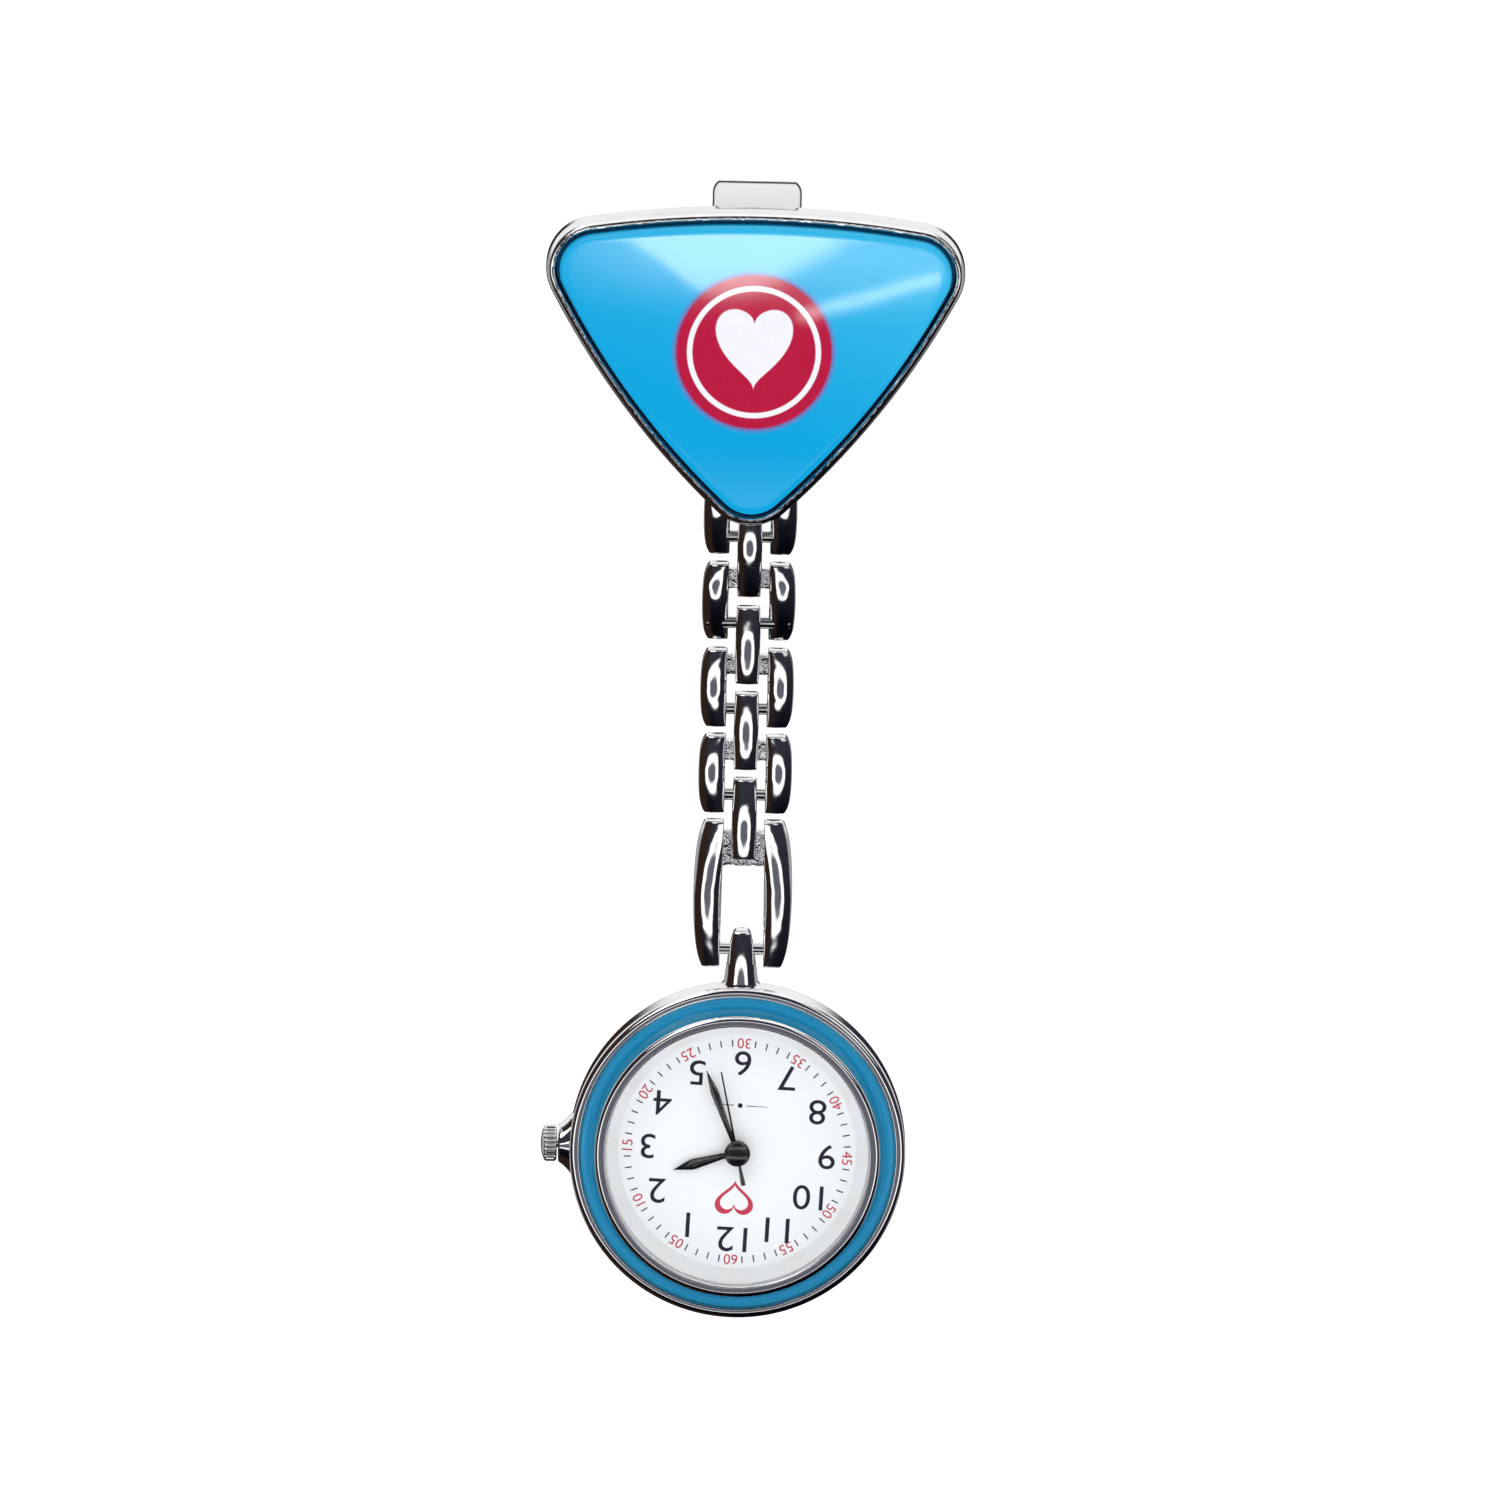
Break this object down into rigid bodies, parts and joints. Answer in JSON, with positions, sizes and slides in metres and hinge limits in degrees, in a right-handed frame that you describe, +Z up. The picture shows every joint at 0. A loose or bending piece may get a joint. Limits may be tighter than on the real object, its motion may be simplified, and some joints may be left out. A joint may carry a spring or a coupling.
{
  "type": "fob watch",
  "caption": "Clip-on brooch with a glossy domed inlay, a hinged chain of cast links, and a small round quartz watch hung upside down.",
  "frame": {"origin": "on the centre line of the brooch's back face, halfway up the clip's grip, where the garment is held", "axes": "+Z up with the watch hanging straight down, the brooch, dial and chain facing -Y, +X to the viewer's right"},
  "size_m": [0.0346, 0.0109, 0.0952],
  "materials": {
    "chrome": "polished chrome plate",
    "inlay": "printed blue card",
    "resin": "clear resin over blue print",
    "steel_sheet": "plated stamped sheet",
    "steel_pin": "turned steel",
    "spring_steel": "hardened spring steel",
    "enamel": "blue enamel",
    "crystal": "mineral glass",
    "gasket": "nitrile rubber",
    "flange": "polished silvery flange",
    "dial": "white lacquer with print",
    "movement_plastic": "moulded spacer",
    "brass_plate": "machined brass",
    "cell": "steel can",
    "board": "circuit laminate",
    "winding": "enamelled copper wire",
    "stator_iron": "soft magnetic alloy",
    "hand_black": "gloss black lacquer"
  },
  "bodies": {
    "brooch": {"brooch_tray": "chrome", "inlay_card": "inlay", "resin_dome": "resin", "back_plate": "steel_sheet", "anchor_pin": "steel_pin", "clip_base": "steel_sheet", "clip_rivets": "steel_pin", "clip_pin": "steel_pin", "clip_spring": "spring_steel"},
    "clip_lever": {"clip_lever": "steel_sheet"},
    "link_top": {"link_top": "chrome", "link_pin_1": "steel_pin"},
    "link_1": {"link_1": "chrome", "link_pin_2": "steel_pin"},
    "link_2": {"link_2": "chrome", "link_pin_3": "steel_pin"},
    "link_3": {"link_3": "chrome", "link_pin_4": "steel_pin"},
    "link_long": {"link_long": "chrome", "lug_pin": "steel_pin"},
    "watch": {"watch_case": "chrome", "enamel_ring": "enamel", "bezel_ring": "chrome", "crystal": "crystal", "crystal_gasket": "gasket", "flange_ring": "flange", "dial": "dial", "movement_ring": "movement_plastic", "main_plate": "brass_plate", "train_bridge": "brass_plate", "bridge_screws": "steel_pin", "button_cell": "cell", "cell_strap": "spring_steel", "circuit_board": "board", "quartz_can": "cell", "coil": "winding", "stator": "stator_iron", "crown_tube": "steel_pin", "back_gasket": "gasket", "case_back": "steel_sheet"},
    "setting_lever": {"setting_lever": "spring_steel"},
    "crown": {"crown": "chrome", "stem": "steel_pin"},
    "seconds": {"second_hand": "hand_black", "fourth_wheel": "brass_plate"},
    "third": {"third_wheel": "brass_plate"},
    "minutes": {"minute_hand": "hand_black", "centre_wheel": "brass_plate", "cannon_pinion": "spring_steel"},
    "minute_wheel": {"minute_wheel": "brass_plate"},
    "hours": {"hour_hand": "hand_black", "hour_wheel": "brass_plate"},
    "fifth": {"fifth_wheel": "brass_plate"},
    "rotor": {"rotor": "stator_iron"}
  },
  "joints": [
    {"name": "clip_lever_press", "type": "hinge", "parent": "brooch", "child": "clip_lever", "pos_m": [0, 0.0031, 0.0055], "axis": [1, 0, 0], "range_deg": [0, 22], "stiffness_Nm_per_rad": 0.02, "springref_deg": -25.78, "deforming": ["clip_spring"]},
    {"name": "link_top_swing", "type": "hinge", "parent": "brooch", "child": "link_top", "pos_m": [0, 0.002, -0.0094], "axis": [1, 0, 0], "range_deg": [-7, 70]},
    {"name": "link_1_swing", "type": "hinge", "parent": "link_top", "child": "link_1", "pos_m": [0, 0.002, -0.0166], "axis": [-1, 0, 0], "range_deg": [-70, 70]},
    {"name": "link_2_swing", "type": "hinge", "parent": "link_1", "child": "link_2", "pos_m": [0, 0.002, -0.02385], "axis": [1, 0, 0], "range_deg": [-70, 70]},
    {"name": "link_3_swing", "type": "hinge", "parent": "link_2", "child": "link_3", "pos_m": [0, 0.002, -0.0311], "axis": [-1, 0, 0], "range_deg": [-70, 70]},
    {"name": "link_long_swing", "type": "hinge", "parent": "link_3", "child": "link_long", "pos_m": [0, 0.002, -0.03835], "axis": [1, 0, 0], "range_deg": [-70, 70]},
    {"name": "watch_swing", "type": "hinge", "parent": "link_long", "child": "watch", "pos_m": [0, 0.002, -0.0514], "axis": [-1, 0, 0], "range_deg": [-80, 80]},
    {"name": "crown_pull", "type": "slide", "parent": "watch", "child": "setting_lever", "axis": [-1, 0, 0], "range_m": [0, 0.0008]},
    {"name": "crown_turn", "type": "hinge", "parent": "setting_lever", "child": "crown", "pos_m": [-0.0157, 0.003, -0.06835], "axis": [-1, 0, 0], "continuous": true},
    {"name": "seconds_turn", "type": "hinge", "parent": "watch", "child": "seconds", "pos_m": [0, 0.0018, -0.06835], "axis": [0, 1, 0], "continuous": true},
    {"name": "third_turn", "type": "hinge", "parent": "watch", "child": "third", "pos_m": [-0.00287, 0.0018, -0.0694], "axis": [0, 1, 0], "continuous": true},
    {"name": "minutes_turn", "type": "hinge", "parent": "watch", "child": "minutes", "pos_m": [0, 0.0018, -0.06835], "axis": [0, 1, 0], "continuous": true},
    {"name": "minute_wheel_turn", "type": "hinge", "parent": "watch", "child": "minute_wheel", "pos_m": [0.0012, 0.0018, -0.07043], "axis": [0, 1, 0], "continuous": true},
    {"name": "hours_turn", "type": "hinge", "parent": "watch", "child": "hours", "pos_m": [0, 0.0018, -0.06835], "axis": [0, 1, 0], "continuous": true},
    {"name": "fifth_turn", "type": "hinge", "parent": "watch", "child": "fifth", "pos_m": [0, 0.0018, -0.06529], "axis": [0, 1, 0], "continuous": true},
    {"name": "rotor_turn", "type": "hinge", "parent": "watch", "child": "rotor", "pos_m": [0.00127, 0.0018, -0.06402], "axis": [0, 1, 0], "continuous": true}
  ],
  "couplings": [
    {"joint": "third_turn", "follows": "seconds_turn", "ratio": -0.13333},
    {"joint": "minutes_turn", "follows": "seconds_turn", "ratio": 0.016667},
    {"joint": "minute_wheel_turn", "follows": "seconds_turn", "ratio": -0.0055556},
    {"joint": "hours_turn", "follows": "seconds_turn", "ratio": 0.0013889},
    {"joint": "fifth_turn", "follows": "seconds_turn", "ratio": -7.5},
    {"joint": "rotor_turn", "follows": "seconds_turn", "ratio": 30}
  ]
}
